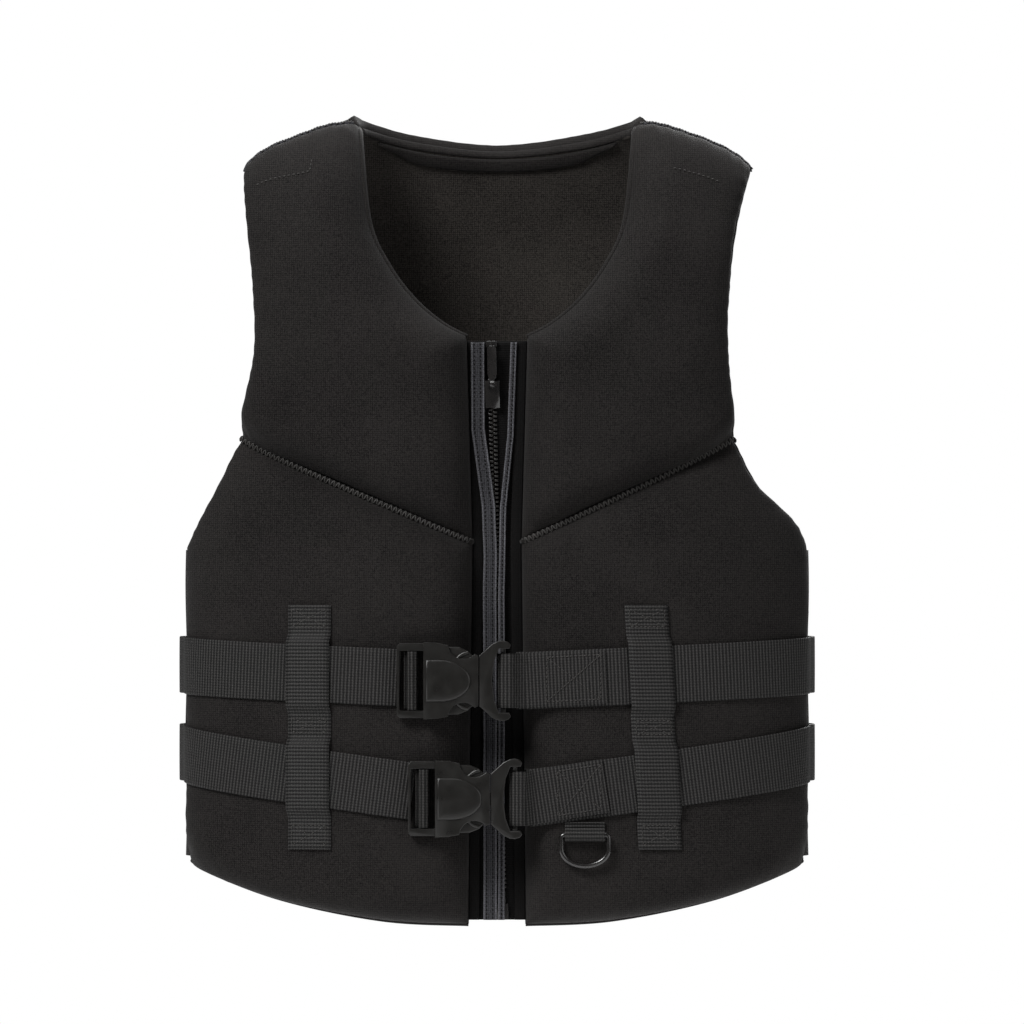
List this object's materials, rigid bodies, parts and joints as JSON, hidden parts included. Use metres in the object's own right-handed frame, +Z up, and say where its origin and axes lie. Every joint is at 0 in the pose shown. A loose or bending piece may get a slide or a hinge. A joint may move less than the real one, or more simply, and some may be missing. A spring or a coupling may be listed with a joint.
{
  "type": "life jacket",
  "caption": "Foam-filled neoprene buoyancy vest, zipped up the front and held by two webbing belts with side-release buckles.",
  "frame": {"origin": "midway between the two shoulders, at the height where the straps rest on the wearer", "axes": "+X towards the wearer's left, +Y towards the wearer's back, +Z up"},
  "size_m": [0.4506, 0.2034, 0.5703],
  "materials": {
    "neoprene_outer": "matt jersey-faced neoprene",
    "neoprene_lining": "matt knitted lining",
    "foam": "closed-cell buoyancy foam",
    "webbing": "ribbed woven webbing",
    "buckle_plastic": "satin moulded plastic",
    "zip_tape": "woven tape",
    "zip_teeth": "moulded teeth",
    "coated_metal": "black coated metal"
  },
  "bodies": {
    "vest": {"back_chest_cover": "neoprene_outer", "back_chest_foam": "foam", "back_lining": "neoprene_lining", "back_neck_band": "neoprene_outer", "back_waist_cover": "neoprene_outer", "back_waist_foam": "foam", "d_ring_tab": "webbing", "left_back_keeper": "webbing", "left_chest_cover": "neoprene_outer", "left_chest_foam": "foam", "left_front_keeper": "webbing", "left_front_lining": "neoprene_lining", "left_side_panel": "neoprene_outer", "left_waist_cover": "neoprene_outer", "left_waist_foam": "foam", "left_zip_facing": "neoprene_outer", "left_zip_tape": "zip_tape", "left_zip_teeth": "zip_teeth", "left_zip_top_stop": "coated_metal", "lower_belt": "webbing", "lower_belt_loop": "webbing", "lower_buckle_male": "buckle_plastic", "right_back_keeper": "webbing", "right_chest_cover": "neoprene_outer", "right_chest_foam": "foam", "right_front_keeper": "webbing", "right_front_lining": "neoprene_lining", "right_side_panel": "neoprene_outer", "right_waist_cover": "neoprene_outer", "right_waist_foam": "foam", "right_zip_facing": "neoprene_outer", "right_zip_tape": "zip_tape", "right_zip_teeth": "zip_teeth", "right_zip_top_stop": "coated_metal", "upper_belt": "webbing", "upper_belt_loop": "webbing", "upper_buckle_male": "buckle_plastic", "zip_insert_pin": "coated_metal", "zip_retainer_box": "coated_metal", "zip_retainer_pin": "coated_metal"},
    "slider": {"zip_slider": "coated_metal"},
    "pull": {"zip_pull": "coated_metal"},
    "upper_release": {"upper_buckle_female": "buckle_plastic", "upper_adjuster_turn": "webbing"},
    "upper_prong_a": {"upper_prong_upper": "buckle_plastic"},
    "upper_prong_b": {"upper_prong_lower": "buckle_plastic"},
    "lower_release": {"lower_buckle_female": "buckle_plastic", "lower_adjuster_turn": "webbing"},
    "lower_prong_a": {"lower_prong_upper": "buckle_plastic"},
    "lower_prong_b": {"lower_prong_lower": "buckle_plastic"},
    "ring": {"d_ring": "coated_metal"}
  },
  "joints": [
    {"name": "zip_slide", "type": "slide", "parent": "vest", "child": "slider", "axis": [-0.0196, 0, 0.9998], "range_m": [-0.345, 0.019]},
    {"name": "pull_tip", "type": "hinge", "parent": "slider", "child": "pull", "pos_m": [-0.00336, -0.0742, -0.15853], "axis": [0.9998, 0, 0.0196], "range_deg": [0, 178]},
    {"name": "upper_release_slide", "type": "slide", "parent": "vest", "child": "upper_release", "axis": [-1, 0, 0], "range_m": [0, 0.032]},
    {"name": "upper_prong_a_squeeze", "type": "hinge", "parent": "vest", "child": "upper_prong_a", "pos_m": [-0.0172, -0.1012, -0.3527], "axis": [0, -1, 0], "range_deg": [0, 18]},
    {"name": "upper_prong_b_squeeze", "type": "hinge", "parent": "vest", "child": "upper_prong_b", "pos_m": [-0.0172, -0.1012, -0.3787], "axis": [0, 1, 0], "range_deg": [0, 18]},
    {"name": "lower_release_slide", "type": "slide", "parent": "vest", "child": "lower_release", "axis": [-1, 0, 0], "range_m": [0, 0.032]},
    {"name": "lower_prong_a_squeeze", "type": "hinge", "parent": "vest", "child": "lower_prong_a", "pos_m": [-0.0092, -0.1012, -0.435], "axis": [0, -1, 0], "range_deg": [0, 18]},
    {"name": "lower_prong_b_squeeze", "type": "hinge", "parent": "vest", "child": "lower_prong_b", "pos_m": [-0.0092, -0.1012, -0.461], "axis": [0, 1, 0], "range_deg": [0, 18]},
    {"name": "ring_swing", "type": "hinge", "parent": "vest", "child": "ring", "pos_m": [0.0615, -0.09723, -0.4735], "axis": [-1, 0, 0], "range_deg": [0, 120]}
  ],
  "couplings": [
    {"joint": "upper_prong_a_squeeze", "follows": "upper_release_slide", "rad_per_m": 9.6},
    {"joint": "upper_prong_b_squeeze", "follows": "upper_release_slide", "rad_per_m": 9.6},
    {"joint": "lower_prong_a_squeeze", "follows": "lower_release_slide", "rad_per_m": 9.6},
    {"joint": "lower_prong_b_squeeze", "follows": "lower_release_slide", "rad_per_m": 9.6}
  ]
}
